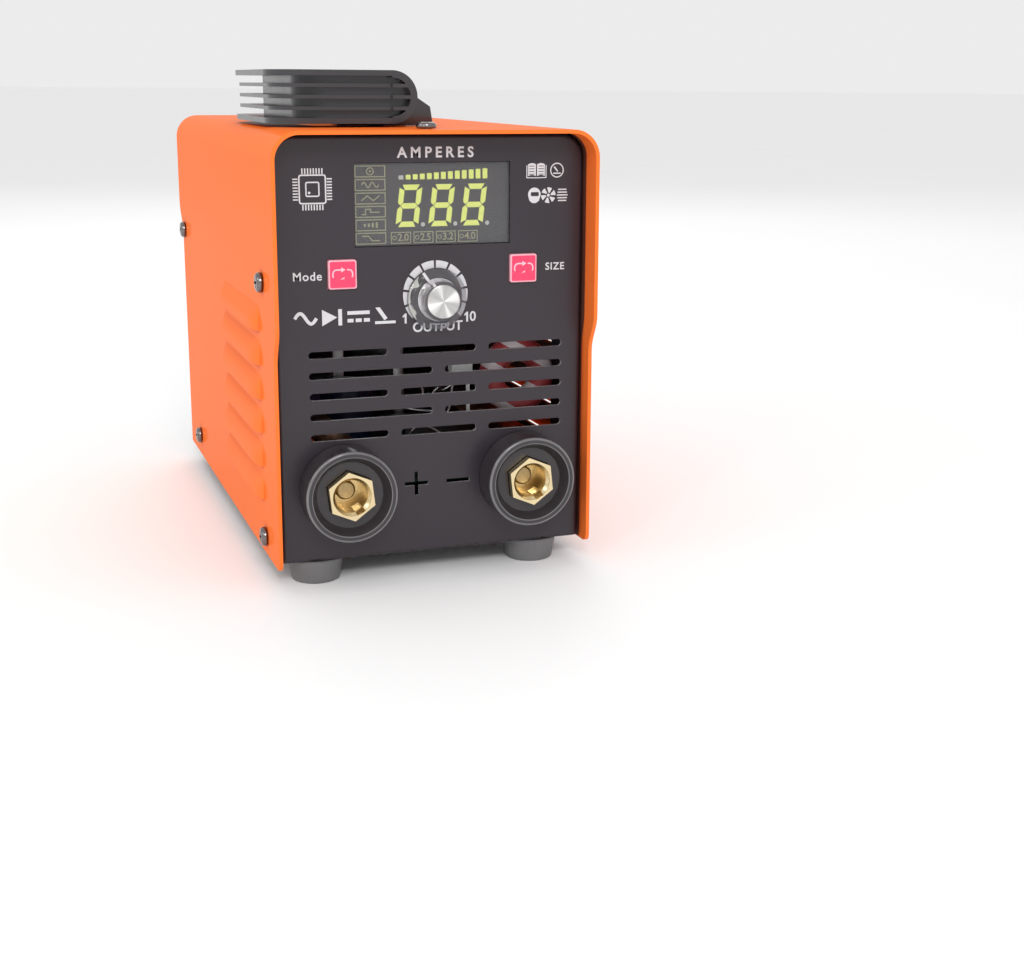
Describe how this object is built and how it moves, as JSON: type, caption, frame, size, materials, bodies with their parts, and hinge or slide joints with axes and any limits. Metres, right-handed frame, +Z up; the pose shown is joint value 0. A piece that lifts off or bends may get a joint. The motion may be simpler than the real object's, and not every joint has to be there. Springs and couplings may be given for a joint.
{
  "type": "stick welding inverter",
  "caption": "Compact stick welding inverter: bent orange cover over a black chassis, display, knob, push keys, brass dinse sockets, louvres, rubber feet and a folding ribbed handle.",
  "frame": {"origin": "on the ground plane under the feet, at the centre of the machine's box in plan", "axes": "+Z up, +Y from the front panel to the rear panel, +X to the machine's right side as seen from the front"},
  "size_m": [0.1384, 0.2582, 0.2026],
  "materials": {
    "orange_coat": "glossy orange powder coat",
    "black_coat": "satin black powder coat",
    "black_plastic": "satin moulded nylon",
    "glossy_black_plastic": "polished thermoset",
    "rubber": "matt",
    "black_steel": "black oxide",
    "zinc_steel": "zinc plated",
    "brass": "turned",
    "copper": "rolled copper",
    "aluminium": "extruded and spun",
    "smoked_window": "clear smoked acrylic",
    "clear_plastic": "clear moulded",
    "pink_key": "smooth moulded",
    "red_plastic": "smooth moulded",
    "red_varnish": "varnished winding",
    "circuit_board": "solder mask",
    "ferrite": "sintered",
    "amber_tape": "polyimide tape",
    "blue_sleeve": "shrink sleeve"
  },
  "bodies": {
    "root": {"board_rail_left": "black_plastic", "board_rail_right": "black_plastic", "busbar_minus": "copper", "busbar_plus": "copper", "cable_gland": "black_plastic", "capacitor_1": "blue_sleeve", "capacitor_2": "blue_sleeve", "control_board": "circuit_board", "cover": "orange_coat", "cover_screw_1": "black_steel", "cover_screw_2": "black_steel", "cover_screw_3": "black_steel", "cover_screw_4": "black_steel", "cover_screw_5": "black_steel", "cover_screw_6": "black_steel", "cover_screw_7": "black_steel", "cover_screw_8": "black_steel", "display_module": "black_plastic", "display_window": "smoked_window", "fan_frame": "black_plastic", "fan_guard": "zinc_steel", "foot_1": "rubber", "foot_2": "rubber", "foot_3": "rubber", "foot_4": "rubber", "front_chassis": "black_coat", "function_switch": "black_plastic", "gland_nut": "black_plastic", "handle_bracket_front": "black_plastic", "handle_bracket_rear": "black_plastic", "handle_pin_front": "black_steel", "handle_pin_rear": "black_steel", "heatsink_left": "aluminium", "heatsink_right": "aluminium", "main_board": "circuit_board", "output_choke": "red_varnish", "pot_nut": "brass", "potentiometer": "zinc_steel", "power_switch": "black_plastic", "rear_panel": "black_coat", "rod_switch": "black_plastic", "socket_body_minus": "glossy_black_plastic", "socket_body_plus": "glossy_black_plastic", "socket_insert_minus": "brass", "socket_insert_plus": "brass", "socket_nut_minus": "black_plastic", "socket_nut_plus": "black_plastic", "top_screw_front": "black_steel", "top_screw_rear": "black_steel", "transformer_core": "ferrite", "transformer_winding": "amber_tape"},
    "knob": {"knob": "clear_plastic", "knob_cap": "aluminium", "pot_shaft": "zinc_steel"},
    "function_button": {"function_button": "pink_key"},
    "rod_button": {"rod_button": "pink_key"},
    "power_rocker": {"power_rocker": "red_plastic"},
    "fan_rotor": {"fan_rotor": "black_plastic"},
    "handle": {"handle_bail": "black_plastic"}
  },
  "joints": [
    {"name": "current_dial", "type": "hinge", "parent": "root", "child": "knob", "pos_m": [0.0012, -0.11485, 0.115], "axis": [0, 1, 0], "range_deg": [-110, 190]},
    {"name": "function_press", "type": "slide", "parent": "root", "child": "function_button", "axis": [0, 1, 0], "range_m": [0, 0.001], "stiffness_N_per_m": 300, "springref_m": -0.002},
    {"name": "rod_press", "type": "slide", "parent": "root", "child": "rod_button", "axis": [0, 1, 0], "range_m": [0, 0.001], "stiffness_N_per_m": 300, "springref_m": -0.002},
    {"name": "power_toggle", "type": "hinge", "parent": "root", "child": "power_rocker", "pos_m": [0.031, 0.11605, 0.043], "axis": [1, 0, 0], "range_deg": [-20, 0]},
    {"name": "fan_spin", "type": "hinge", "parent": "root", "child": "fan_rotor", "pos_m": [0, 0.1, 0.118], "axis": [0, 1, 0], "continuous": true},
    {"name": "handle_fold", "type": "hinge", "parent": "root", "child": "handle", "pos_m": [-0.0089, -0.04385, 0.1923], "axis": [0, 1, 0], "range_deg": [0, 90]}
  ]
}
